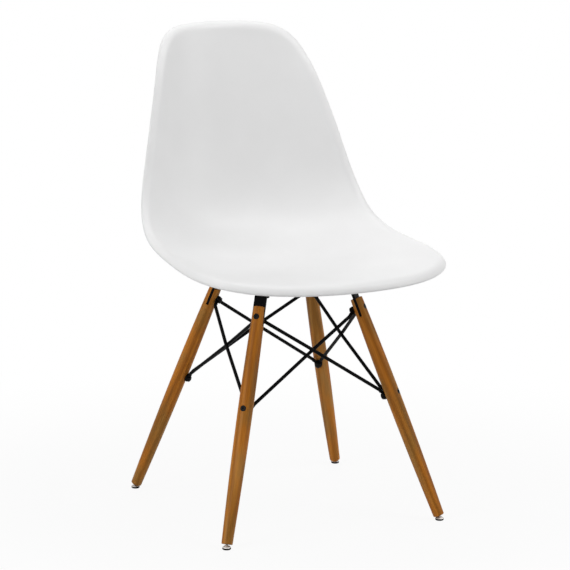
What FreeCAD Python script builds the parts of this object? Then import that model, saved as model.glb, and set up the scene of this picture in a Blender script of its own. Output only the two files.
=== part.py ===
import FreeCAD, Part
import math
import os

# Moulded plastic shell chair on a dowel-leg base.
# Millimetres, +Z up, the sitter looks along -Y, so the sitter's right is -X.
# The origin lies on the floor, under the middle of the chair's width and depth.

V = FreeCAD.Vector

# Base, as seen in the upright plane through the chair's axis and one leg
LEG_LEAN = 22.5              # degrees from upright, away from the chair's axis
FOOT_RADIUS = 282.2          # from the chair's axis to the middle of a glide
LEG_LENGTH = 398.7
LEG_RADIUS_SHARES = (0.0, 0.186, 0.361, 0.576, 0.80, 1.0)   # where along the wood each radius lies
LEG_RADII = (9.35, 11.1, 12.2, 12.7, 12.0, 10.25)
LEG_CHAMFER = 0.8
LEG_SEAM_TURN = 45.0         # degrees, puts the start of the turned surface clear of the holes
LEG_ANGLES = {"front_left": -45.0, "rear_left": 45.0, "rear_right": 135.0, "front_right": 225.0}

# Swivelling glides: a ball stud in the leg, a plastic pad under it and a steel cup that holds both
PIVOT_HEIGHT = 5.0           # middle of the ball above the floor
BALL_RADIUS = 3.3
BALL_CLEARANCE = 0.05
BALL_TO_WOOD = 3.4           # from the middle of the ball to the end of the leg
STUD_NECK_RADIUS = 1.5
STUD_RADIUS = 3.0
STUD_DEPTH = 24.0
STUD_CLEARANCE = 0.05
GLIDE_RADIUS = 7.3
PAD_SIDE_HEIGHT = 3.2
PAD_TOP_HEIGHT = 5.2
PAD_EDGE_CHAMFER = 1.0
CUP_DOME_RADIUS = 9.3
CUP_DOME_DROP = 2.4          # middle of the cup's dome below the floor
CUP_LIP_HEIGHT = 6.2
CUP_WALL = 0.7
CUP_CLEARANCE = 0.05

# Bolts through the legs
BOLT_RADIUS = 3.0
BOLT_HOLE_CLEARANCE = 0.15
LOWER_BOLT_HEIGHT = 224.8    # along the leg, from its foot end
UPPER_BOLT_DROP = 17.9       # along the leg, from its top end
BOLT_HEAD_RADIUS = 4.8
BOLT_HEAD_HEIGHT = 3.2
BOLT_HEAD_CLEARANCE = 0.4
BOLT_HEAD_SINK = 0.8         # how far the head lies below the leg's surface
HEX_KEY_ACROSS = 4.0
HEX_KEY_DEPTH = 1.8
SEAT_FLAT_DEPTH = 0.8        # flat milled on the inner side of the leg
SEAT_FLAT_CLEARANCE = 0.5    # round the flat part of a rod's eye
WASHER_RADIUS = 6.2
WASHER_THICKNESS = 1.0
NUT_ACROSS = 10.0
NUT_HEX_HEIGHT = 3.2
NUT_END_RADIUS = 4.8         # of the hexagon's chamfered end
NUT_END_SLOPE = 30.0         # degrees, of that chamfer
NUT_DOME_RADIUS = 4.3
NUT_DOME_HEIGHT = 1.5
THREAD_CLEARANCE = 0.05

# Crossed frame of flat steel under the seat
BAR_WIDTH = 21.0
BAR_THICKNESS = 4.5
BAR_BEND_RADIUS = 4.0        # on the inner face
BAR_RISE = 19.1              # along the leg, from its top end to the middle of the bar
TAB_DEPTH = 31.4             # how far the tab goes into the leg
TAB_CORNER = 3.0
SLOT_CLEARANCE = 0.15
SLOT_END_CLEARANCE = 0.5
WELD_LEG = 4.0

# Seat mounts
MOUNT_INSET = 24.5           # from the bend of the bar to each seat screw, towards the chair's axis
SPACER_HEIGHT = 15.8
SPACER_RADIUS = 14.0
SPACER_FLANGE_RADIUS = 17.0
SPACER_FLANGE_HEIGHT = 3.0
SCREW_RADIUS = 3.0
SCREW_HOLE_CLEARANCE = 0.4
SCREW_HEAD_ACROSS = 10.0
SCREW_HEAD_HEIGHT = 4.0
SEAT_WASHER_RADIUS = 8.0
SEAT_WASHER_THICKNESS = 1.6
INSERT_RADIUS = 4.6
INSERT_LENGTH = 7.5
INSERT_CLEARANCE = 0.05
INSERT_END_ROOM = 1.0
BOSS_RADIUS = 11.5
RIB_LENGTH = 26.0            # from the middle of the boss
RIB_THICKNESS = 2.6
RIB_STEP = 2.5               # how far the ribs stay above the end of the boss

# Brace rods
ROD_RADIUS = 3.0
ROD_BEND_RADIUS = 9.0
ROD_CROSSING_BEND_RADIUS = 300.0
ROD_CROSSING_GAP = 0.1
EYE_RADIUS = 6.6
EYE_THICKNESS = 2.0
EYE_NECK = 15.0              # from the bolt to the bend
EYE_STRIP_WIDTH = 9.0
EYE_FLARE_START = 7.0
EYE_FLARE_END = 11.0
EYE_ROD_LIFT = 3.6           # how far the round rod stands inward of its flat eye

# Shell: each row is one section from the middle of the seat or back out to its side,
# as the middle (depth, height) and the side (half width, depth, height).
# Depths are from the chair's axis, heights from the seat mounts.
SHELL_SECTIONS = (
    ((-300.0, 2.0), (235.0, -300.0, -6.0)),
    ((-262.0, 21.0), (235.0, -262.0, 16.0)),
    ((-215.0, 28.5), (235.0, -215.0, 32.0)),
    ((-150.0, 27.5), (234.5, -150.0, 42.5)),
    ((-80.0, 22.5), (233.0, -80.0, 50.0)),
    ((-10.0, 16.5), (228.0, -10.0, 56.5)),
    ((60.0, 13.5), (221.0, 50.0, 65.0)),
    ((125.0, 18.0), (212.5, 96.0, 83.0)),
    ((178.0, 40.0), (204.0, 122.0, 110.0)),
    ((207.0, 83.0), (195.0, 138.0, 143.0)),
    ((222.0, 138.0), (184.0, 150.5, 184.0)),
    ((234.0, 203.0), (172.5, 162.5, 228.0)),
    ((247.0, 273.0), (157.5, 180.0, 282.0)),
    ((260.0, 340.0), (140.5, 203.5, 337.0)),
    ((271.5, 402.0), (135.0, 222.0, 388.0)),
    ((278.5, 437.0), (135.0, 230.0, 425.0)),
)
# How late each section turns up towards its side: 2 is a parabola, more is flatter in the middle
SECTION_EXPONENTS = (2.2, 2.2, 2.4, 2.6, 2.8, 2.8, 2.8, 2.7,
                     2.6, 2.5, 2.4, 2.4, 2.4, 2.4, 2.5, 2.5)
# Half of the shell's outline, laid flat: half width, distance along the middle of the shell
SHELL_OUTLINE = (
    (0.0, 45.5), (118.0, 60.5), (187.0, 95.5), (217.5, 132.0), (231.0, 172.0), (234.0, 216.0),
    (228.0, 296.0), (221.0, 366.0), (212.5, 431.0), (204.0, 488.0), (195.0, 540.0), (184.0, 597.0),
    (172.5, 663.0), (157.5, 734.0), (141.0, 803.0), (133.5, 829.0), (122.0, 853.0), (104.0, 867.5),
    (67.0, 873.0), (0.0, 873.0),
)
SHELL_WALL = 5.0
RIM_WIDTH = 22.0             # measured along the rolled surface
RIM_ROLL = 54.0              # degrees, how far the edge turns over
RIM_STATIONS = 144           # around the outline
RIM_STEPS = 8                # across the rolled rim
PANEL_STEP = 25.0            # along the middle of the shell
PANEL_COLUMNS = 17
BOSS_REACH = 60.0            # more than the shell's height over its mounts
SEAT_START_SHARE = 0.35      # where the search for a point of the seat starts, along the shell
SEARCH_STEPS = 12
SLOPE_STEP_SHARE = 0.001     # share of the half width and of the length over which a slope is taken
LIP_STEPS = 6                # round the rim's edge


def interpolated(points, parameters, closed=False):
    """Smooth curve through the points, at the given parameters."""
    curve = Part.BSplineCurve()
    curve.interpolate(Points=points, Parameters=parameters, PeriodicFlag=closed)
    return curve


def skin(rows, row_parameters, column_parameters, closed=False):
    """Smooth surface through a grid of points, closed on itself along the rows if asked."""
    along = [interpolated(row, column_parameters, closed) for row in rows]
    poles = [curve.getPoles() for curve in along]
    columns = list(zip(*poles))
    across = [interpolated(list(column), row_parameters) for column in columns]
    net = list(zip(*[curve.getPoles() for curve in across]))
    surface = Part.BSplineSurface()
    surface.buildFromPolesMultsKnots(
        [list(line) for line in net],
        across[0].getMultiplicities(), along[0].getMultiplicities(),
        across[0].getKnots(), along[0].getKnots(),
        False, closed, 3, 3)
    return surface


def running_lengths(points):
    """Distance along a run of points, from the first."""
    lengths = [0.0]
    for before, after in zip(points, points[1:]):
        lengths.append(lengths[-1] + (after - before).Length)
    return lengths


class ShellForm:
    """The sitting surface of the shell: its sections, its outline and its rolled rim."""

    def __init__(self, mount_height):
        middles = [V(0, depth, height + mount_height) for (depth, height), side in SHELL_SECTIONS]
        sides = [V(side[0], side[1], side[2] + mount_height) for middle, side in SHELL_SECTIONS]
        self.stations = running_lengths(middles)
        powers = [V(exponent, along, 0) for exponent, along in zip(SECTION_EXPONENTS, self.stations)]
        self.middle = interpolated(middles, self.stations)
        self.side = interpolated(sides, self.stations)
        self.power = interpolated(powers, self.stations)
        half = [V(across, along, 0) for across, along in SHELL_OUTLINE]
        other = [V(-point.x, point.y, 0) for point in reversed(half[1:-1])]
        ring = half + other
        lengths = running_lengths(ring + [ring[0]])
        self.outline = interpolated(ring, lengths, True)
        self.outline_length = lengths[-1]

    def point(self, across, along):
        """Point of the sitting surface; across runs from -1 to 1, along is in millimetres."""
        middle = self.middle.value(along)
        side = self.side.value(along)
        rise = abs(across) ** self.power.value(along).x
        centre = V(0, middle.y, middle.z)
        edge = V(0, side.y, side.z)
        return V(across * side.x, 0, 0) + centre + (edge - centre) * rise

    def over(self, place):
        """Surface coordinates of the point straight above a place near the middle of the seat."""
        across = 0.0
        along = self.stations[-1] * SEAT_START_SHARE
        for attempt in range(SEARCH_STEPS):
            miss = place - self.point(across, along)
            on = self.slopes(across, along)[1]
            along += miss.y / on.y
            across = place.x / self.side.value(along).x
        return across, along

    def slopes(self, across, along):
        """Change of the surface for a step across and for a step along."""
        step_across = SLOPE_STEP_SHARE
        step_along = SLOPE_STEP_SHARE * self.stations[-1]
        over = self.point(across + step_across, along) - self.point(across - step_across, along)
        on = self.point(across, along + step_along) - self.point(across, along - step_along)
        return over / (2 * step_across), on / (2 * step_along)

    def normal(self, across, along):
        """Unit normal on the sitter's side."""
        over, on = self.slopes(across, along)
        return over.cross(on).normalize()

    def outline_place(self, station):
        """Place of a station of the outline on the surface, and the step outwards per millimetre."""
        flat = self.outline.value(station)
        heading = self.outline.tangent(station)[0]
        width = self.side.value(flat.y).x
        across = flat.x / width
        over, on = self.slopes(across, flat.y)
        along_edge = over * (heading.x / width) + on * heading.y
        outward = along_edge.cross(over.cross(on)).normalize()
        determinant = over.dot(over) * on.dot(on) - over.dot(on) ** 2
        step_across = (outward.dot(over) * on.dot(on) - outward.dot(on) * over.dot(on)) / determinant
        step_along = (outward.dot(on) * over.dot(over) - outward.dot(over) * over.dot(on)) / determinant
        return across, flat.y, step_across, step_along

    def depth_middle(self):
        """Depth halfway between the front and the rear of the rim."""
        profile = rim_profile()
        depths = []
        for station in rim_stations(self):
            depths.extend(point.y for point in rim_section(self, station, profile))
        return (min(depths) + max(depths)) / 2


def rim_profile():
    """Steps over the rolled rim: distance out from the outline, drop and turn, the panel's edge first."""
    fine = 40
    turns = []
    out = [0.0]
    drop = [0.0]
    for index in range(RIM_STEPS * fine + 1):
        turns.append(math.radians(RIM_ROLL) * math.sin(math.pi * index / (2 * RIM_STEPS * fine)) ** 2)
    step = RIM_WIDTH / (RIM_STEPS * fine)
    for before, after in zip(turns, turns[1:]):
        out.append(out[-1] + step * math.cos((before + after) / 2))
        drop.append(drop[-1] + step * math.sin((before + after) / 2))
    return [(out[k] - out[-1], drop[k], turns[k]) for k in range(0, len(out), fine)]


def rim_section(form, station, profile):
    """Points round the rim at one station, from the panel's top edge to its bottom edge."""
    across, along, step_across, step_along = form.outline_place(station)
    top = []
    bottom = []
    for out, drop, turn in profile:
        here = (across + out * step_across, along + out * step_along)
        up = form.normal(*here)
        beyond = (here[0] + step_across, here[1] + step_along)
        outward = form.point(*beyond) - form.point(*here)
        outward = (outward - up * outward.dot(up)).normalize()
        surface = form.point(*here) - up * drop
        turned = up * math.cos(turn) + outward * math.sin(turn)
        top.append(surface)
        bottom.append(surface - turned * SHELL_WALL)
    lip = outward * math.cos(turn) - up * math.sin(turn)
    centre = (top[-1] + bottom[-1]) / 2
    rounded = []
    for index in range(1, LIP_STEPS):
        angle = math.pi * index / LIP_STEPS
        rounded.append(centre + (turned * math.cos(angle) + lip * math.sin(angle)) * (SHELL_WALL / 2))
    return top + rounded + bottom[::-1]


def panel_surface(form, offset, first, last):
    """A stretch of the sitting surface from side to side, moved by the offset along its normal."""
    steps = round((last - first) / PANEL_STEP)
    rows = [first + (last - first) * k / steps for k in range(steps + 1)]
    columns = [2.0 * k / (PANEL_COLUMNS - 1) - 1.0 for k in range(PANEL_COLUMNS)]
    grid = []
    for across in columns:
        grid.append([form.point(across, along) + form.normal(across, along) * offset for along in rows])
    return skin(grid, columns, rows)


def panel_face(form, offset, border):
    """The part of the sitting surface inside the rim, cut along the rim's own edge."""
    face = Part.Face(panel_surface(form, offset, 0.0, form.stations[-1]), Part.Wire([border]))
    face.validate()
    return face


def rim_stations(form):
    return [form.outline_length * k / RIM_STATIONS for k in range(RIM_STATIONS + 1)]


def rim_face(form):
    """One closed ring: over the rolled rim, round its edge and back underneath."""
    stations = rim_stations(form)
    profile = rim_profile()
    sections = [rim_section(form, station, profile) for station in stations[:-1]]
    rows = [list(row) for row in zip(*sections)]
    return skin(rows, running_lengths(sections[0]), stations, True).toShape()


def shell_wall(form):
    """The plastic wall with its rolled rim, without bosses."""
    rim = rim_face(form)
    top = panel_face(form, 0.0, rim.Edges[0])
    bottom = panel_face(form, -SHELL_WALL, rim.Edges[2])
    closed = Part.makeShell([top, rim, bottom])
    closed.sewShape()
    return Part.makeSolid(closed)


def mount_places():
    """The four seat screws, one over each leg's diagonal."""
    places = []
    for angle in LEG_ANGLES.values():
        turn = math.radians(angle)
        places.append(V(MOUNT_RADIUS * math.cos(turn), MOUNT_RADIUS * math.sin(turn), 0))
    return places


def disc(radius, low, high, place=V(0, 0, 0)):
    """Upright cylinder between two heights."""
    return Part.makeCylinder(radius, high - low, V(place.x, place.y, low))


def boss_pieces(form, place, mount_height):
    """Round boss and its two crossing ribs, each cut off halfway through the wall above it."""
    across, along = form.over(place)
    up = form.normal(across, along)
    halfway = form.point(across, along) - up * (SHELL_WALL / 2)
    half = 2 * RIB_LENGTH
    above = Part.makeBox(2 * half, 2 * half, 2 * BOSS_REACH, V(-half, -half, 0))
    above = above.transformed(FreeCAD.Placement(halfway, FreeCAD.Rotation(V(0, 0, 1), up)).toMatrix())
    pieces = [disc(BOSS_RADIUS, mount_height, mount_height + BOSS_REACH, place)]
    for turn in (0.0, 90.0):
        rib = Part.makeBox(2 * RIB_LENGTH, RIB_THICKNESS, BOSS_REACH - RIB_STEP,
                           V(-RIB_LENGTH, -RIB_THICKNESS / 2, mount_height + RIB_STEP))
        pieces.append(turned(rib, turn).translated(place))
    return [piece.cut(above).Solids[0] for piece in pieces]


def shell(form, mount_height):
    """The one-piece moulded shell: wall, rolled rim, four bosses with blind holes for the inserts."""
    places = mount_places()
    solid = shell_wall(form)
    for place in places:
        for piece in boss_pieces(form, place, mount_height):
            solid = solid.fuse(piece)
    hole_top = mount_height + INSERT_LENGTH + INSERT_END_ROOM
    holes = [disc(INSERT_RADIUS + INSERT_CLEARANCE, mount_height, hole_top, place) for place in places]
    return solid.cut(holes)


def leg_length_point(share):
    """Distance from the ball along the leg, for a share of the wood's length."""
    return WOOD_START + share * LEG_LENGTH


def leg_curve():
    """Radius of the leg along its length, as a smooth curve with the distance as its parameter."""
    distances = [leg_length_point(share) for share in LEG_RADIUS_SHARES]
    return interpolated([V(radius, 0, along) for radius, along in zip(LEG_RADII, distances)], distances)


def leg_radius(along):
    return leg_curve().value(along).x


def cross_cylinder(radius, start, end, along):
    """Cylinder square to the leg, along the bolt direction, between two distances from the leg's middle."""
    return Part.makeCylinder(radius, end - start, V(start, 0, along), V(1, 0, 0))


def turned_leg():
    """Tapered round leg before it is slotted and drilled, its middle line on Z, the ball at the origin."""
    curve = leg_curve()
    start = WOOD_START + LEG_CHAMFER
    end = WOOD_END - LEG_CHAMFER
    side = curve.copy()
    side.segment(start, end)
    foot = side.value(start)
    top = side.value(end)
    corners_low = [V(0, 0, WOOD_START), V(foot.x - LEG_CHAMFER, 0, WOOD_START), foot]
    corners_high = [top, V(top.x - LEG_CHAMFER, 0, WOOD_END), V(0, 0, WOOD_END), V(0, 0, WOOD_START)]
    edges = Part.makePolygon(corners_low).Edges + [side.toShape()] + Part.makePolygon(corners_high).Edges
    profile = Part.Face(Part.Wire(edges))
    return turned(profile.revolve(V(0, 0, 0), V(0, 0, 1), 360), LEG_SEAM_TURN)


def leg():
    """Wooden leg with the slot for the steel tab, two bolt holes and the hole for the glide's stud."""
    solid = turned_leg()
    reach = 2 * max(LEG_RADII)
    half_slot = BAR_THICKNESS / 2 + SLOT_CLEARANCE
    slot_depth = TAB_DEPTH + SLOT_END_CLEARANCE
    slot_corner = V(-half_slot, -reach, WOOD_END - slot_depth)
    slot = Part.makeBox(2 * half_slot, 2 * reach, 2 * slot_depth, slot_corner)
    stud_hole = disc(STUD_RADIUS + STUD_CLEARANCE, 0, WOOD_START + STUD_DEPTH)
    solid = solid.cut(stud_hole)
    for along in (LOWER_BOLT, UPPER_BOLT):
        radius = leg_radius(along)
        hole = cross_cylinder(BOLT_RADIUS + BOLT_HOLE_CLEARANCE, -reach, reach, along)
        head = cross_cylinder(BOLT_HEAD_RADIUS + BOLT_HEAD_CLEARANCE, head_seat(radius), reach, along)
        flat = cross_cylinder(SEAT_FLAT_RADIUS, -reach, -flat_seat(radius), along)
        solid = solid.cut(hole.fuse([head, flat]))
    return solid.cut(slot)


def head_seat(radius):
    """Distance from the leg's middle to the underside of the bolt head."""
    return radius - BOLT_HEAD_SINK - BOLT_HEAD_HEIGHT


def flat_seat(radius):
    """Distance from the leg's middle to the flat that the rods' eyes lie on."""
    return radius - SEAT_FLAT_DEPTH


def hexagon(across, height):
    """Upright hexagonal prism from the ground plane."""
    corner = across / 2 / math.cos(math.radians(30))
    corners = [V(corner * math.cos(math.radians(60 * k)), corner * math.sin(math.radians(60 * k)), 0)
               for k in range(7)]
    return Part.Face(Part.makePolygon(corners)).extrude(V(0, 0, height))


def laid(shape, start, along, inward=False):
    """Turns an upright fastener onto the bolt direction, its foot at a distance from the leg's middle."""
    shape.rotate(V(0, 0, 0), V(0, 1, 0), -90 if inward else 90)
    shape.translate(V(start, 0, along))
    return shape


def leg_bolt(along):
    """Socket-head bolt from the outer side of the leg through to its cap nut."""
    radius = leg_radius(along)
    seat = head_seat(radius)
    tip = nut_seat(radius) + NUT_HEX_HEIGHT
    shank = cross_cylinder(BOLT_RADIUS, -tip, seat, along)
    head = Part.makeCylinder(BOLT_HEAD_RADIUS, BOLT_HEAD_HEIGHT)
    key = hexagon(HEX_KEY_ACROSS, HEX_KEY_DEPTH).translated(V(0, 0, BOLT_HEAD_HEIGHT - HEX_KEY_DEPTH))
    head = head.cut(key)
    return shank.fuse(laid(head, seat, along)).removeSplitter()


def nut_seat(radius):
    """Distance from the leg's middle to the foot of the cap nut."""
    return flat_seat(radius) + 2 * EYE_THICKNESS + WASHER_THICKNESS


def leg_washer(along):
    radius = leg_radius(along)
    ring = disc(WASHER_RADIUS, 0, WASHER_THICKNESS)
    ring = ring.cut(disc(BOLT_RADIUS + BOLT_HOLE_CLEARANCE, 0, WASHER_THICKNESS))
    return laid(ring, -(nut_seat(radius) - WASHER_THICKNESS), along, True)


def cap_nut(along):
    """Hexagonal cap nut with a domed end."""
    radius = leg_radius(along)
    foot_radius = NUT_END_RADIUS + NUT_HEX_HEIGHT / math.tan(math.radians(NUT_END_SLOPE))
    body = hexagon(NUT_ACROSS, NUT_HEX_HEIGHT)
    body = body.common(Part.makeCone(foot_radius, NUT_END_RADIUS, NUT_HEX_HEIGHT))
    curve_radius = (NUT_DOME_RADIUS ** 2 + NUT_DOME_HEIGHT ** 2) / (2 * NUT_DOME_HEIGHT)
    ball = Part.makeSphere(curve_radius, V(0, 0, NUT_HEX_HEIGHT + NUT_DOME_HEIGHT - curve_radius))
    dome = ball.common(disc(NUT_DOME_RADIUS, NUT_HEX_HEIGHT, NUT_HEX_HEIGHT + NUT_DOME_HEIGHT))
    body = body.fuse(dome).removeSplitter()
    body = body.cut(disc(BOLT_RADIUS + THREAD_CLEARANCE, 0, NUT_HEX_HEIGHT + THREAD_CLEARANCE))
    return laid(body, -nut_seat(radius), along, True)


def glide_stud():
    """Steel ball stud: shank in the wood, short neck and ball."""
    ball = Part.makeSphere(BALL_RADIUS)
    neck = disc(STUD_NECK_RADIUS, 0, WOOD_START + STUD_DEPTH / 2)
    shank = disc(STUD_RADIUS, WOOD_START, WOOD_START + STUD_DEPTH - STUD_CLEARANCE)
    return ball.fuse([neck, shank]).removeSplitter()


def glide_dome(inset):
    """Ball whose top is the cup's dome, smaller by the inset."""
    return Part.makeSphere(CUP_DOME_RADIUS - inset, V(0, 0, -CUP_DOME_DROP))


def glide_socket():
    """The room for the ball inside the cup and the pad."""
    return Part.makeSphere(BALL_RADIUS + BALL_CLEARANCE, V(0, 0, PIVOT_HEIGHT))


def glide_pad():
    """Plastic foot on the floor: a sole with a chamfered edge and a core that fills the cup."""
    narrow = GLIDE_RADIUS - PAD_EDGE_CHAMFER
    edge = Part.makeCone(narrow, GLIDE_RADIUS, PAD_EDGE_CHAMFER)
    side = disc(GLIDE_RADIUS, PAD_EDGE_CHAMFER, PAD_SIDE_HEIGHT)
    core = glide_dome(CUP_WALL + CUP_CLEARANCE).common(disc(GLIDE_RADIUS, PAD_EDGE_CHAMFER, PAD_TOP_HEIGHT))
    pad = edge.fuse([side, core]).removeSplitter().cut(glide_socket())
    return pad.translated(V(FOOT_RADIUS, 0, 0))


def glide_cup():
    """Pressed steel cup over the pad; its lip closes round the ball above the ball's widest place."""
    outside = glide_dome(0).common(disc(GLIDE_RADIUS, PAD_SIDE_HEIGHT + CUP_CLEARANCE, CUP_LIP_HEIGHT))
    cup = outside.cut([glide_dome(CUP_WALL), glide_socket()])
    return cup.translated(V(FOOT_RADIUS, 0, 0))


def leg_placement(angle):
    """Puts a piece that is drawn on an upright leg at the ball onto the leaning leg at this angle."""
    lean = FreeCAD.Placement(V(FOOT_RADIUS, 0, PIVOT_HEIGHT), FreeCAD.Rotation(V(0, 1, 0), -LEG_LEAN))
    return FreeCAD.Placement(V(0, 0, 0), FreeCAD.Rotation(V(0, 0, 1), angle)) * lean


def on_leg(shape, angle):
    return shape.transformed(leg_placement(angle).toMatrix())


def turned(shape, angle):
    return shape.rotated(V(0, 0, 0), V(0, 0, 1), angle)


def smooth_path(points, radii):
    """Straight runs joined by arcs that touch both, one radius for each inner point."""
    edges = []
    start = points[0]
    for before, corner, after, radius in zip(points, points[1:], points[2:], radii):
        back = (before - corner).normalize()
        onward = (after - corner).normalize()
        half_turn = (math.pi - back.getAngle(onward)) / 2
        touch = radius * math.tan(half_turn)
        middle = (back + onward).normalize()
        arc_middle = corner + middle * (radius / math.cos(half_turn) - radius)
        arc_start = corner + back * touch
        arc_end = corner + onward * touch
        edges.append(Part.LineSegment(start, arc_start).toShape())
        edges.append(Part.Arc(arc_start, arc_middle, arc_end).toShape())
        start = arc_end
    edges.append(Part.LineSegment(start, points[-1]).toShape())
    return Part.Wire(edges)


def half_bar(start):
    """Flat bar along X from a distance to the bend, then down the middle of the leg as its tab."""
    lean = math.radians(LEG_LEAN)
    bend = V(BEND_RADIUS, 0, BAR_HEIGHT)
    down = V(math.sin(lean), 0, -math.cos(lean))
    tip = bend + down * (BAR_RISE + TAB_DEPTH)
    path = smooth_path([V(start, 0, BAR_HEIGHT), bend, tip], [BAR_BEND_RADIUS + BAR_THICKNESS / 2])
    half_width = BAR_WIDTH / 2
    half_thick = BAR_THICKNESS / 2
    section = Part.makePolygon([
        V(start, -half_width, BAR_HEIGHT - half_thick), V(start, half_width, BAR_HEIGHT - half_thick),
        V(start, half_width, BAR_HEIGHT + half_thick), V(start, -half_width, BAR_HEIGHT + half_thick),
        V(start, -half_width, BAR_HEIGHT - half_thick)])
    bar = path.makePipeShell([section], True, False)
    corners = []
    for edge in bar.Edges:
        if (edge.CenterOfMass - tip).dot(down) > -TAB_CORNER and edge.Length < BAR_WIDTH / 2:
            corners.append(edge)
    bar = bar.makeFillet(TAB_CORNER, corners)
    bolt_hole = cross_cylinder(BOLT_RADIUS + BOLT_HOLE_CLEARANCE, -BAR_WIDTH, BAR_WIDTH, UPPER_BOLT)
    screw_hole = disc(SCREW_RADIUS + SCREW_HOLE_CLEARANCE, BAR_HEIGHT - BAR_WIDTH, BAR_HEIGHT + BAR_WIDTH,
                      V(MOUNT_RADIUS, 0, 0))
    return bar.cut([on_leg(bolt_hole, 0), screw_hole])


def long_bar():
    """The unbroken bar of the cross, from one leg to the leg opposite."""
    half = half_bar(0.0)
    return half.fuse(turned(half, 180)).removeSplitter()


def weld_bead():
    """Fillet weld in one corner of the cross, as deep as the bars."""
    near = BAR_WIDTH / 2
    low = BAR_HEIGHT - BAR_THICKNESS / 2
    far = near + WELD_LEG
    corners = [V(near, near, low), V(far, near, low), V(near, far, low), V(near, near, low)]
    return Part.Face(Part.makePolygon(corners)).extrude(V(0, 0, BAR_THICKNESS))


def seat_spacer():
    """Black rubber spacer between the bar and the boss, with a foot flange."""
    low = BAR_HEIGHT + BAR_THICKNESS / 2
    place = V(MOUNT_RADIUS, 0, 0)
    body = disc(SPACER_RADIUS, low, MOUNT_HEIGHT, place)
    flange = disc(SPACER_FLANGE_RADIUS, low, low + SPACER_FLANGE_HEIGHT, place)
    hole = disc(SCREW_RADIUS + SCREW_HOLE_CLEARANCE, low, MOUNT_HEIGHT, place)
    return body.fuse(flange).removeSplitter().cut(hole)


def seat_washer():
    high = BAR_HEIGHT - BAR_THICKNESS / 2
    place = V(MOUNT_RADIUS, 0, 0)
    ring = disc(SEAT_WASHER_RADIUS, high - SEAT_WASHER_THICKNESS, high, place)
    return ring.cut(disc(SCREW_RADIUS + SCREW_HOLE_CLEARANCE, high - SEAT_WASHER_THICKNESS, high, place))


def seat_screw():
    """Hexagon-head screw from under the bar up into the insert."""
    head_top = BAR_HEIGHT - BAR_THICKNESS / 2 - SEAT_WASHER_THICKNESS
    place = V(MOUNT_RADIUS, 0, 0)
    head = hexagon(SCREW_HEAD_ACROSS, SCREW_HEAD_HEIGHT)
    head = head.translated(place + V(0, 0, head_top - SCREW_HEAD_HEIGHT))
    return head.fuse(disc(SCREW_RADIUS, head_top, MOUNT_HEIGHT + INSERT_LENGTH, place))


def threaded_insert():
    place = V(MOUNT_RADIUS, 0, 0)
    high = MOUNT_HEIGHT + INSERT_LENGTH
    return disc(INSERT_RADIUS, MOUNT_HEIGHT, high, place).cut(
        disc(SCREW_RADIUS + THREAD_CLEARANCE, MOUNT_HEIGHT, high, place))


class RodEnd:
    """One flattened end of a brace rod: its eye on a bolt, its neck in the plane of the leg's flat."""

    def __init__(self, leg_angle, along, layer):
        placement = leg_placement(leg_angle)
        distance = flat_seat(leg_radius(along)) + (layer + 0.5) * EYE_THICKNESS
        self.eye = placement.multVec(V(-distance, 0, along))
        self.square = placement.Rotation.multVec(V(-1, 0, 0))

    def aim(self, target):
        """Turns the neck towards the target, within the plane of the eye."""
        toward = target - self.eye
        self.heading = (toward - self.square * toward.dot(self.square)).normalize()
        self.side = self.square.cross(self.heading)
        lifted = self.eye + self.square * EYE_ROD_LIFT
        self.start = lifted + self.heading * EYE_FLARE_END
        self.bend = lifted + self.heading * EYE_NECK

    def frame(self):
        """Placement with Z along the neck and Y square to the eye."""
        turn = FreeCAD.Rotation(self.side, self.square, self.heading, "ZXY")
        return FreeCAD.Placement(self.eye, turn)

    def solid(self):
        """The flat eye and the flare from it to the round rod, without the bolt hole."""
        half_width = EYE_STRIP_WIDTH / 2
        half_thick = EYE_THICKNESS / 2
        flat = Part.Ellipse(V(0, 0, EYE_FLARE_START), half_width, half_thick).toShape()
        round_end = Part.Circle(V(0, EYE_ROD_LIFT, EYE_FLARE_END), V(0, 0, 1), ROD_RADIUS).toShape()
        flare = Part.makeLoft([Part.Wire([flat]), Part.Wire([round_end])], True)
        strip = Part.makeBox(EYE_STRIP_WIDTH, EYE_THICKNESS, EYE_FLARE_START, V(-half_width, -half_thick, 0))
        eye = Part.makeCylinder(EYE_RADIUS, EYE_THICKNESS, V(0, -half_thick, 0), V(0, 1, 0))
        return flare.fuse([strip, eye]).transformed(self.frame().toMatrix())

    def hole(self):
        radius = BOLT_RADIUS + BOLT_HOLE_CLEARANCE
        start = self.eye - self.square * EYE_THICKNESS
        return Part.makeCylinder(radius, 2 * EYE_THICKNESS, start, self.square)


def rod_ends(top_angle, low_angle, layer):
    """Both ends of the rod from the upper bolt of one leg to the lower bolt of the next."""
    top = RodEnd(top_angle, UPPER_BOLT, layer)
    low = RodEnd(low_angle, LOWER_BOLT, layer)
    top.aim(low.eye)
    low.aim(top.eye)
    return top, low


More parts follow.
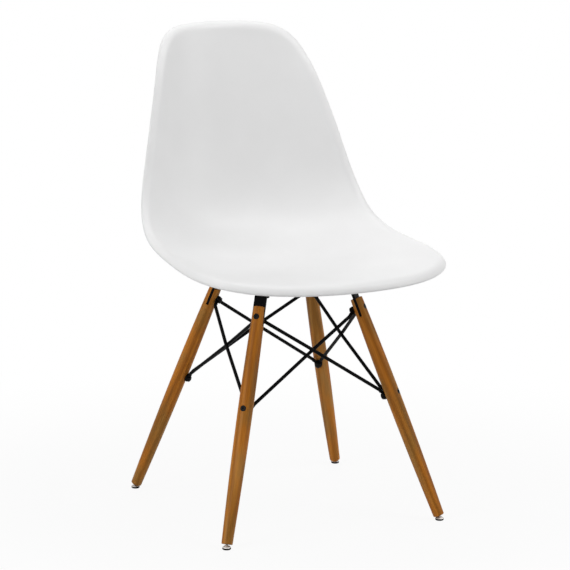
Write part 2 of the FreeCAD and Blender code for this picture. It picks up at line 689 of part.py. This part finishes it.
def brace_pair():
    """The two rods that cross between the leg at 0 and the leg at 90 degrees."""
    pairs = [rod_ends(0, 90, 0), rod_ends(90, 0, 1)]
    runs = []
    crossings = []
    for top, low in pairs:
        run = low.bend - top.bend
        square = V(1, -1, 0)
        share = -top.bend.dot(square) / run.dot(square)
        runs.append(run)
        crossings.append(top.bend + run * share)
    middle = (crossings[0] + crossings[1]) / 2
    outward = runs[0].cross(runs[1]).normalize()
    if outward.dot(V(1, 1, 0)) < 0:
        outward = -outward
    half_gap = ROD_RADIUS + ROD_CROSSING_GAP / 2
    rods = []
    for (top, low), sign in zip(pairs, (1, -1)):
        knee = middle + outward * (sign * half_gap)
        radii = [ROD_BEND_RADIUS, ROD_CROSSING_BEND_RADIUS, ROD_BEND_RADIUS]
        path = smooth_path([top.start, top.bend, knee, low.bend, low.start], radii)
        section = Part.Wire([Part.Circle(top.start, top.heading, ROD_RADIUS).toShape()])
        rod = path.makePipeShell([section], True, False)
        rod = rod.fuse([top.solid(), low.solid()]).cut([top.hole(), low.hole()])
        rods.append(rod)
    return rods


# Heights and distances that follow from the sizes above
WOOD_START = BALL_TO_WOOD
WOOD_END = WOOD_START + LEG_LENGTH
LOWER_BOLT = WOOD_START + LOWER_BOLT_HEIGHT
UPPER_BOLT = WOOD_END - UPPER_BOLT_DROP
BAR_HEIGHT = PIVOT_HEIGHT + (WOOD_END + BAR_RISE) * math.cos(math.radians(LEG_LEAN))
MOUNT_HEIGHT = BAR_HEIGHT + BAR_THICKNESS / 2 + SPACER_HEIGHT
SEAT_FLAT_RADIUS = math.hypot(EYE_FLARE_START, EYE_STRIP_WIDTH / 2) + SEAT_FLAT_CLEARANCE
BEND_RADIUS = FOOT_RADIUS - (WOOD_END + BAR_RISE) * math.sin(math.radians(LEG_LEAN))
MOUNT_RADIUS = BEND_RADIUS - MOUNT_INSET     # from the chair's axis to each seat screw


def group(shapes):
    return Part.makeCompound(shapes)


def build():
    """All nodes by name, standing on the floor around the base's own axis."""
    form = ShellForm(MOUNT_HEIGHT)
    angles = list(LEG_ANGLES.values())
    nodes = {"shell": shell(form, MOUNT_HEIGHT)}
    nodes["threaded_inserts"] = group([turned(threaded_insert(), angle) for angle in angles])
    nodes["seat_screws"] = group([turned(seat_screw(), angle) for angle in angles])
    nodes["seat_washers"] = group([turned(seat_washer(), angle) for angle in angles])
    nodes["cross_bar_long"] = turned(long_bar(), LEG_ANGLES["front_left"])
    for name in ("rear_left", "front_right"):
        nodes["cross_arm_" + name] = turned(half_bar(BAR_WIDTH / 2), LEG_ANGLES[name])
    nodes["cross_welds"] = group([turned(weld_bead(), angle) for angle in angles])
    for name, angle in LEG_ANGLES.items():
        nodes["seat_spacer_" + name] = turned(seat_spacer(), angle)
        nodes["leg_" + name] = on_leg(leg(), angle)
        nodes["glide_stud_" + name] = on_leg(glide_stud(), angle)
        nodes["glide_pad_" + name] = turned(glide_pad(), angle)
        nodes["glide_cup_" + name] = turned(glide_cup(), angle)
    for level, along in (("lower", LOWER_BOLT), ("upper", UPPER_BOLT)):
        nodes[level + "_leg_bolts"] = group([on_leg(leg_bolt(along), angle) for angle in angles])
        nodes[level + "_washers"] = group([on_leg(leg_washer(along), angle) for angle in angles])
        nodes[level + "_cap_nuts"] = group([on_leg(cap_nut(along), angle) for angle in angles])
    names = list(LEG_ANGLES)
    outer_rod, inner_rod = brace_pair()
    for index, name in enumerate(names):
        following = names[(index + 1) % len(names)]
        nodes["brace_" + name + "_to_" + following] = turned(outer_rod, angles[index])
        nodes["brace_" + following + "_to_" + name] = turned(inner_rod, angles[index])
    return nodes, form.depth_middle()


def main():
    os.makedirs("parts", exist_ok=True)
    nodes, depth_middle = build()
    for name, shape in nodes.items():
        shape.translated(V(0, -depth_middle, 0)).exportStep("parts/" + name + ".step")


if __name__ == "__main__":
    main()
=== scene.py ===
import math

import bpy
from mathutils import Matrix, Vector

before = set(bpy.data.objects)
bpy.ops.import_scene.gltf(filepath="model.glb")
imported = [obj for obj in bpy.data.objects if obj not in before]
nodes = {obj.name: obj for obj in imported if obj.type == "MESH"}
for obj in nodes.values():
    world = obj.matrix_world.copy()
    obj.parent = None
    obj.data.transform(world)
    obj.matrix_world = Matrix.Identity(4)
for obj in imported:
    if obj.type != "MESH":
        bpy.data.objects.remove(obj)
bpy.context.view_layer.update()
bpy.ops.object.select_all(action="DESELECT")

# Metres, the same frame as the solids: +Z up, the sitter looks along -Y.

# Legs: their lean from upright, and where each stands in degrees round from +X, the sitter's left
LEG_LEAN = math.radians(22.5)
LEG_ANGLES = {"front_left": -45, "rear_left": 45, "rear_right": 135, "front_right": 225}

# Photograph's viewing angle, from the chair's front and its right-hand side
VIEW_TARGET = Vector((0.0, -0.0145, 0.400))
VIEW_AZIMUTH = math.radians(25.51)
VIEW_ELEVATION = math.radians(11.22)
VIEW_ROLL = math.radians(0.28)
VIEW_DISTANCE = 4.161
LENS = 152.9
SENSOR_WIDTH = 36.0
SHIFT_DOWN = -0.01
SHIFT_LEFT = -0.0005
FARTHEST_SEEN = 100.0

# White plastic: the mould's cloudiness and its fine skin
PLASTIC_TONES = ((0.35, (0.83, 0.83, 0.83)), (0.65, (0.85, 0.85, 0.85)))
CLOUD_SCALE = 9.0
MOULD_SKIN_SCALE = 700.0
PLASTIC_ROUGHNESS = (0.36, 0.44)
PLASTIC_INDEX = 1.49
FINE_RELIEF = 0.0002

# Stained wood: each pattern is drawn out along the leg, and each leg is cut from another place in the wood
GRAIN_OFFSET_PER_DEGREE = 0.01
GRAIN_STRETCH = (1.0, 1.0, 0.05)
FIBRE_STRETCH = (1.0, 1.0, 0.015)
PATCH_STRETCH = (1.0, 1.0, 0.3)
DRIFT_SCALE = 45.0
DRIFT_DISTORTION = 0.3
BANDS = {"Scale": 42.0, "Distortion": 4.0, "Detail": 3.0, "Detail Scale": 1.2, "Detail Roughness": 0.55}
DRIFT_SHARE = 0.7
FIBRE_SCALE = 1100.0
PATCH_SCALE = 38.0
WOOD_TONES = ((0.25, (0.29, 0.10, 0.007)), (0.5, (0.42, 0.150, 0.013)), (0.75, (0.54, 0.210, 0.026)))
STAIN_TONES = ((0.42, (1.08, 1.02, 0.95)), (0.62, (0.82, 0.99, 1.8)))
PORE_TONES = ((0.32, (0.60, 0.56, 0.52)), (0.55, (1.0, 1.0, 1.0)))
PORE_SHARE = 0.7
WOOD_ROUGHNESS = (0.42, 0.56)
WOOD_RELIEF = 0.0003
LACQUER_INDEX = 1.5
LACQUER_SHINE = 0.16

# Studio: a round floor, plain white to the camera from SHADOW_END outwards
FLOOR_RADIUS = 6.0
FLOOR_SIDES = 96
FLOOR_COLOUR = (0.66, 0.66, 0.66, 1.0)
FLOOR_ROUGHNESS = 0.9
FLOOR_SHINE = 0.1
SHADOW_START = 0.35
SHADOW_END = 1.1
WHITE_NEAR_CHAIR = 0.92
WORLD_LIGHT = 0.12
WHITE = (1, 1, 1, 1)
SEEN_RAYS = ("Is Camera Ray", "Is Glossy Ray", "Is Transmission Ray")

# Each lamp: place as (right, towards the camera, up), what it points at, width, height, watts
LAMPS = {
    "softbox_overhead": ((0, 0.3, 3.2), (0, 0, 0.4), 3.0, 3.0, 29.5),
    "softbox_right": ((3.0, 0.6, 1.3), (0, 0, 0.5), 2.0, 2.0, 24.0),
    "softbox_high_right": ((2.0, 0.5, 2.8), (0, 0, 0.5), 1.2, 1.2, 21.9),
    "softbox_high_left": ((-2.0, 0.5, 2.8), (0, 0, 0.5), 1.2, 1.2, 12.2),
    "softbox_left_front": ((-2.4, 2.2, 1.5), (0, 0, 0.5), 1.2, 1.2, 38.0),
    "softbox_back": ((0, -3.2, 1.3), (0, 0, 0.5), 2.4, 2.0, 32.0),
    "softbox_rim": ((0, -1.2, 2.6), (0, 0.1, 0.75), 1.2, 0.6, 6.0),
}
# This one would glare on the front rim
LAMPS_WITHOUT_SHINE = ("softbox_back",)

# Sockets of the mix nodes, which go by number: the first pair takes single values, the second pair colours
VALUE_A, VALUE_B, COLOUR_A, COLOUR_B = 2, 3, 6, 7
VALUE_OUT, COLOUR_OUT = 0, 2


class Finish:
    """A node material for one finish of the chair."""

    def __init__(self, name):
        self.material = bpy.data.materials.new(name)
        self.material.use_nodes = True
        self.tree = self.material.node_tree
        self.shader = self.tree.nodes["Principled BSDF"]

    def add(self, kind, inputs=None, **settings):
        """A new node with its inputs and settings."""
        node = self.tree.nodes.new(kind)
        for setting, value in settings.items():
            setattr(node, setting, value)
        for socket, value in (inputs or {}).items():
            node.inputs[socket].default_value = value
        return node

    def link(self, source, output, target, socket):
        self.tree.links.new(source.outputs[output], target.inputs[socket])

    def set(self, **values):
        """Plain values on the shader's own sockets, with _ for a space."""
        for socket, value in values.items():
            self.shader.inputs[socket.replace("_", " ")].default_value = value

    def place(self):
        """Where a point lies on the piece."""
        where = self.add("ShaderNodeTexCoord")
        mapping = self.add("ShaderNodeMapping")
        self.link(where, "Object", mapping, "Vector")
        return mapping

    def turned(self, source, output, **inputs):
        """The same place in turned axes."""
        mapping = self.add("ShaderNodeMapping", inputs)
        self.link(source, output, mapping, "Vector")
        return mapping

    def stretched(self, source, scale):
        """The same place with a pattern drawn out along an axis."""
        return self.turned(source, "Vector", Scale=scale)

    def grain(self, where, scale, detail, roughness=0.5, distortion=0.0):
        noise = self.add("ShaderNodeTexNoise", {
            "Scale": scale, "Detail": detail, "Roughness": roughness, "Distortion": distortion})
        self.link(where, "Vector", noise, "Vector")
        return noise

    def tones(self, source, output, stops):
        """Colours over a pattern, as (place, colour) stops."""
        ramp = self.add("ShaderNodeValToRGB")
        elements = ramp.color_ramp.elements
        while len(elements) < len(stops):
            elements.new(0.5)
        for element, (place, colour) in zip(elements, stops):
            element.position = place
            element.color = (*colour, 1.0)
        self.link(source, output, ramp, "Fac")
        return ramp

    def roughen(self, pattern, span):
        """Runs the roughness from one value to another over a pattern."""
        reach = self.add("ShaderNodeMapRange", {"To Min": span[0], "To Max": span[1]})
        self.link(pattern, "Fac", reach, "Value")
        self.link(reach, "Result", self.shader, "Roughness")

    def relief(self, pattern, strength, depth):
        """Raises and sinks the surface a little over a pattern."""
        bump = self.add("ShaderNodeBump", {"Strength": strength, "Distance": depth})
        self.link(pattern, "Fac", bump, "Height")
        self.link(bump, "Normal", self.shader, "Normal")

    def multiplied(self, first, output, second, share):
        """One colour times another, as far as the share says."""
        mix = self.add("ShaderNodeMix", {"Factor": share}, data_type="RGBA", blend_type="MULTIPLY")
        self.link(first, output, mix, COLOUR_A)
        self.link(second, "Color", mix, COLOUR_B)
        return mix


def moulded_plastic():
    """White satin plastic: a barely mottled colour and the fine skin of a polished mould."""
    finish = Finish("white_moulded_plastic")
    where = finish.place()
    cloud = finish.grain(where, CLOUD_SCALE, detail=2.0)
    colour = finish.tones(cloud, "Fac", PLASTIC_TONES)
    finish.link(colour, "Color", finish.shader, "Base Color")
    skin = finish.grain(where, MOULD_SKIN_SCALE, detail=2.0)
    finish.roughen(skin, PLASTIC_ROUGHNESS)
    finish.relief(skin, strength=0.05, depth=FINE_RELIEF)
    finish.set(IOR=PLASTIC_INDEX)
    return finish.material


def stained_wood(name, angle):
    """Stained and lacquered hardwood with its grain along one leaning leg."""
    finish = Finish("stained_wood_" + name)
    where = finish.add("ShaderNodeTexCoord")
    facing = finish.turned(where, "Object", Rotation=(0, 0, -math.radians(angle)))
    upright = finish.turned(facing, "Vector", Rotation=(0, LEG_LEAN, 0),
                            Location=(angle * GRAIN_OFFSET_PER_DEGREE, 0, 0))
    long_way = finish.stretched(upright, GRAIN_STRETCH)
    drift = finish.grain(long_way, DRIFT_SCALE, detail=2.0, distortion=DRIFT_DISTORTION)
    bands = finish.add("ShaderNodeTexWave", BANDS, bands_direction="DIAGONAL")
    finish.link(long_way, "Vector", bands, "Vector")
    fibres = finish.grain(finish.stretched(upright, FIBRE_STRETCH), FIBRE_SCALE, detail=3.0, roughness=0.6)
    patches = finish.grain(finish.stretched(upright, PATCH_STRETCH), PATCH_SCALE, detail=2.0)
    blend = finish.add("ShaderNodeMix", {"Factor": DRIFT_SHARE}, data_type="FLOAT")
    finish.link(bands, "Fac", blend, VALUE_A)
    finish.link(drift, "Fac", blend, VALUE_B)
    ground = finish.tones(blend, VALUE_OUT, WOOD_TONES)
    olive = finish.tones(patches, "Fac", STAIN_TONES)
    pores = finish.tones(fibres, "Fac", PORE_TONES)
    stain = finish.multiplied(ground, "Color", olive, share=1.0)
    surface = finish.multiplied(stain, COLOUR_OUT, pores, share=PORE_SHARE)
    finish.link(surface, COLOUR_OUT, finish.shader, "Base Color")
    finish.roughen(fibres, WOOD_ROUGHNESS)
    finish.relief(fibres, strength=0.1, depth=WOOD_RELIEF)
    finish.set(IOR=LACQUER_INDEX, Specular_IOR_Level=LACQUER_SHINE)
    return finish.material


def speckled(name, dark, light, scale, rough, relief, metal=0.0, specular=0.5):
    """A finish whose tone and roughness vary finely, as powder coat, oxide, rubber or plating does."""
    finish = Finish(name)
    speck = finish.grain(finish.place(), scale, detail=3.0, roughness=0.6)
    colour = finish.tones(speck, "Fac", ((0.35, dark), (0.65, light)))
    finish.link(colour, "Color", finish.shader, "Base Color")
    finish.roughen(speck, rough)
    finish.relief(speck, strength=relief, depth=FINE_RELIEF)
    finish.set(Metallic=metal, Specular_IOR_Level=specular)
    return finish.material


# Finishes by the slot that each piece names
finishes = {
    "shell_plastic": moulded_plastic(),
    "black_steel": speckled(
        "black_powder_coat", (0.0018, 0.0018, 0.0020), (0.0042, 0.0042, 0.0045),
        scale=1400.0, rough=(0.42, 0.54), relief=0.2, specular=0.04),
    "black_hardware": speckled(
        "black_oxide_steel", (0.003, 0.0029, 0.0028), (0.007, 0.0067, 0.0065),
        scale=2200.0, rough=(0.34, 0.48), relief=0.1, specular=0.07),
    "black_rubber": speckled(
        "black_rubber", (0.003, 0.003, 0.003), (0.007, 0.007, 0.007),
        scale=900.0, rough=(0.62, 0.78), relief=0.3, specular=0.06),
    "brass_insert": speckled(
        "brass", (0.60, 0.40, 0.17), (0.72, 0.50, 0.23),
        scale=600.0, rough=(0.26, 0.38), relief=0.05, metal=1.0),
    "bright_steel": speckled(
        "bright_zinc", (0.44, 0.42, 0.40), (0.54, 0.52, 0.50),
        scale=1100.0, rough=(0.46, 0.58), relief=0.05, metal=1.0),
    "glide_plastic": speckled(
        "black_glide_plastic", (0.004, 0.004, 0.0043), (0.009, 0.009, 0.0095),
        scale=1300.0, rough=(0.48, 0.60), relief=0.15, specular=0.07),
}


def dress(thing, material):
    thing.data.materials.clear()
    thing.data.materials.append(material)


for name, thing in nodes.items():
    slot = thing.data.materials[0].name
    if slot == "stained_wood":
        side = name.replace("leg_", "")
        dress(thing, stained_wood(side, LEG_ANGLES[side]))
    else:
        dress(thing, finishes[slot])


def seen_share(tree):
    """1 for rays from the camera, off a shiny surface or through a clear one, and 0 for the rest."""
    rays = tree.nodes.new("ShaderNodeLightPath")
    share = rays.outputs[SEEN_RAYS[0]]
    for kind in SEEN_RAYS[1:]:
        either = tree.nodes.new("ShaderNodeMath")
        either.operation = "MAXIMUM"
        tree.links.new(share, either.inputs[0])
        tree.links.new(rays.outputs[kind], either.inputs[1])
        share = either.outputs[0]
    return share


def mixed(tree, share, first, second):
    """Two shaders mixed by a share of the second."""
    mix = tree.nodes.new("ShaderNodeMixShader")
    for socket, source in zip(mix.inputs, (share, first, second)):
        tree.links.new(source, socket)
    return mix.outputs[0]


def floor_finish():
    """White to the camera away from the chair, with the chair's soft shadow near it, and clear from below."""
    finish = Finish("studio_floor")
    tree = finish.tree
    finish.set(Base_Color=FLOOR_COLOUR, Roughness=FLOOR_ROUGHNESS, Specular_IOR_Level=FLOOR_SHINE)
    distance = finish.add("ShaderNodeVectorMath", operation="LENGTH")
    finish.link(finish.place(), "Vector", distance, "Vector")
    fade = finish.add("ShaderNodeMapRange", {
        "From Min": SHADOW_START, "From Max": SHADOW_END, "To Min": WHITE_NEAR_CHAIR, "To Max": 1.0},
        interpolation_type="SMOOTHSTEP")
    finish.link(distance, "Value", fade, "Value")
    share = finish.add("ShaderNodeMath", operation="MULTIPLY")
    finish.link(fade, "Result", share, 0)
    tree.links.new(seen_share(tree), share.inputs[1])
    white = finish.add("ShaderNodeEmission", {"Color": WHITE, "Strength": 1.0})
    above = mixed(tree, share.outputs[0], finish.shader.outputs[0], white.outputs[0])
    side = finish.add("ShaderNodeNewGeometry")
    clear = finish.add("ShaderNodeBsdfTransparent")
    surface = mixed(tree, side.outputs["Backfacing"], above, clear.outputs[0])
    tree.links.new(surface, tree.nodes["Material Output"].inputs["Surface"])
    return finish.material


def lay_floor():
    bpy.ops.mesh.primitive_circle_add(vertices=FLOOR_SIDES, radius=FLOOR_RADIUS, fill_type="NGON",
                                      location=(0, 0, 0))
    floor = bpy.context.object
    floor.name = "studio_floor"
    floor.data.materials.append(floor_finish())


def hang_backdrop():
    """White to the camera, and a low even light for the chair."""
    world = bpy.data.worlds.new("studio")
    bpy.context.scene.world = world
    world.use_nodes = True
    tree = world.node_tree
    light = tree.nodes["Background"]
    backdrop = tree.nodes.new("ShaderNodeBackground")
    for shade, strength in ((light, WORLD_LIGHT), (backdrop, 1.0)):
        shade.inputs["Color"].default_value = WHITE
        shade.inputs["Strength"].default_value = strength
    surface = mixed(tree, seen_share(tree), light.outputs[0], backdrop.outputs[0])
    tree.links.new(surface, tree.nodes["World Output"].inputs["Surface"])


def seen_from_camera(right, forward, height):
    """A place given as the photographer sees it: to the right, towards the camera and up."""
    across = Vector((math.cos(VIEW_AZIMUTH), -math.sin(VIEW_AZIMUTH), 0))
    nearer = Vector((-math.sin(VIEW_AZIMUTH), -math.cos(VIEW_AZIMUTH), 0))
    return across * right + nearer * forward + Vector((0, 0, height))


def softbox(name, place, target, width, height, watts):
    """A rectangular lamp at a place, facing its target."""
    lamp = bpy.data.lights.new(name, "AREA")
    lamp.shape = "RECTANGLE"
    lamp.size = width
    lamp.size_y = height
    lamp.energy = watts
    thing = bpy.data.objects.new(name, lamp)
    bpy.context.scene.collection.objects.link(thing)
    thing.location = place
    thing.rotation_euler = (Vector(target) - place).to_track_quat("-Z", "Y").to_euler()
    thing.visible_glossy = name not in LAMPS_WITHOUT_SHINE


def photograph_camera():
    """Camera where the photographer's stood."""
    back = Vector((-math.sin(VIEW_AZIMUTH) * math.cos(VIEW_ELEVATION),
                   -math.cos(VIEW_AZIMUTH) * math.cos(VIEW_ELEVATION), math.sin(VIEW_ELEVATION)))
    level = Vector((math.cos(VIEW_AZIMUTH), -math.sin(VIEW_AZIMUTH), 0))
    upright = level.cross(-back)
    right = level * math.cos(VIEW_ROLL) + upright * math.sin(VIEW_ROLL)
    up = upright * math.cos(VIEW_ROLL) - level * math.sin(VIEW_ROLL)
    turn = Matrix((right, up, back)).transposed().to_4x4()
    lens = bpy.data.cameras.new("camera")
    lens.lens = LENS
    lens.sensor_width = SENSOR_WIDTH
    lens.sensor_fit = "HORIZONTAL"
    lens.shift_x = SHIFT_LEFT
    lens.shift_y = SHIFT_DOWN
    lens.clip_end = FARTHEST_SEEN
    camera = bpy.data.objects.new("camera", lens)
    bpy.context.scene.collection.objects.link(camera)
    camera.matrix_world = Matrix.Translation(VIEW_TARGET + back * VIEW_DISTANCE) @ turn
    bpy.context.scene.camera = camera


lay_floor()
hang_backdrop()
for name, (place, target, width, height, watts) in LAMPS.items():
    softbox(name, seen_from_camera(*place), target, width, height, watts)
photograph_camera()
bpy.context.scene.view_settings.view_transform = "Standard"
